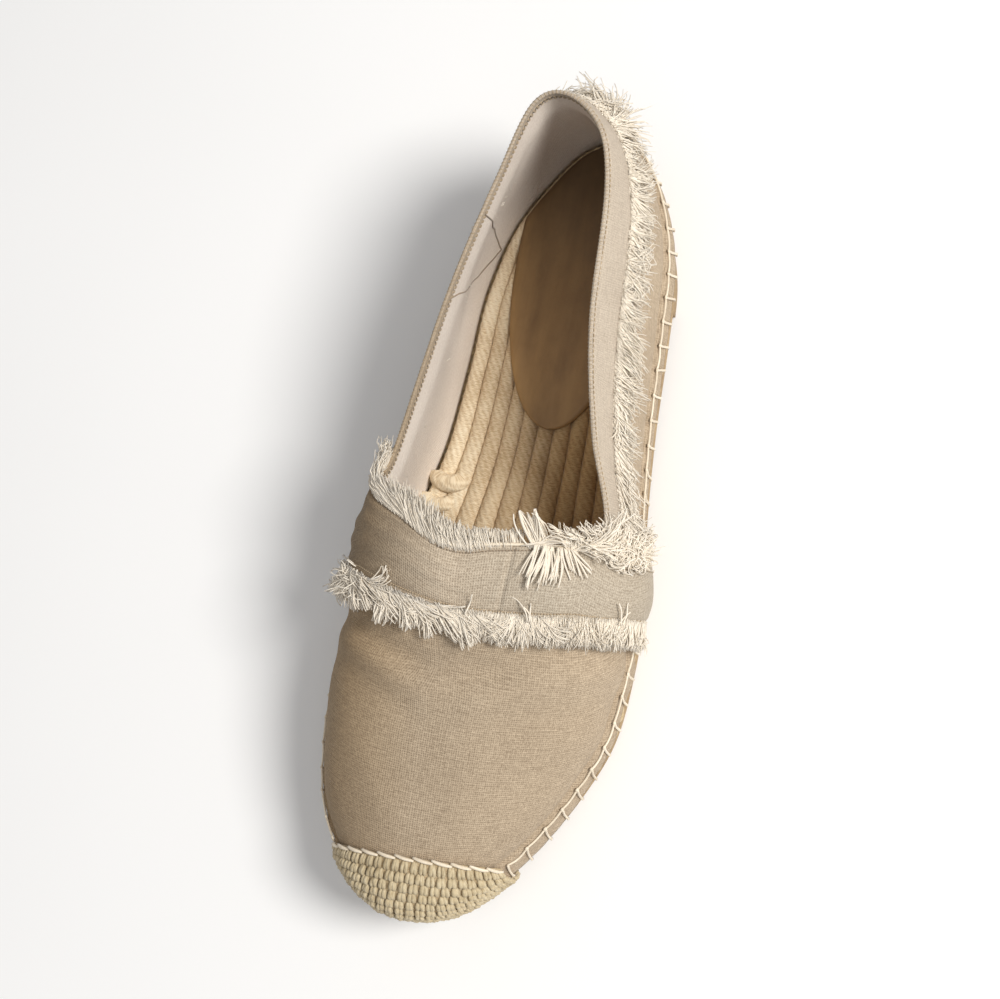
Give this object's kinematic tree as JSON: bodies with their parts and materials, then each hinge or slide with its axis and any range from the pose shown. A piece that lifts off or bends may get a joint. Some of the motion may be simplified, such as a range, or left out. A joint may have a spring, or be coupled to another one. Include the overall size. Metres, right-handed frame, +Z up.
{
  "type": "espadrille",
  "caption": "Left linen espadrille with a braided jute sole, low rubber heel, frayed collar band and instep strap, and a crocheted jute toe cap.",
  "frame": {"origin": "middle of the flat underside of the heel lift, on the floor", "axes": "+X from heel to toe, +Y to the outer side of the left foot, +Z up from the floor"},
  "size_m": [0.2613, 0.0982, 0.0837],
  "materials": {
    "rubber": "matt natural rubber",
    "jute": "braided natural jute",
    "leather": "smooth tan leather",
    "linen": "plain woven linen",
    "frayed_linen": "loose pale threads"
  },
  "bodies": {
    "root": {"outsole": "rubber", "heel_lift": "rubber", "jute_midsole": "jute", "jute_footbed": "jute", "leather_sock": "leather", "upper": "linen", "collar_band": "linen", "instep_strap": "linen", "strap_fringe_rear": "frayed_linen", "strap_fringe_front": "frayed_linen", "collar_fringe": "frayed_linen", "toe_cap": "jute"}
  },
  "joints": []
}
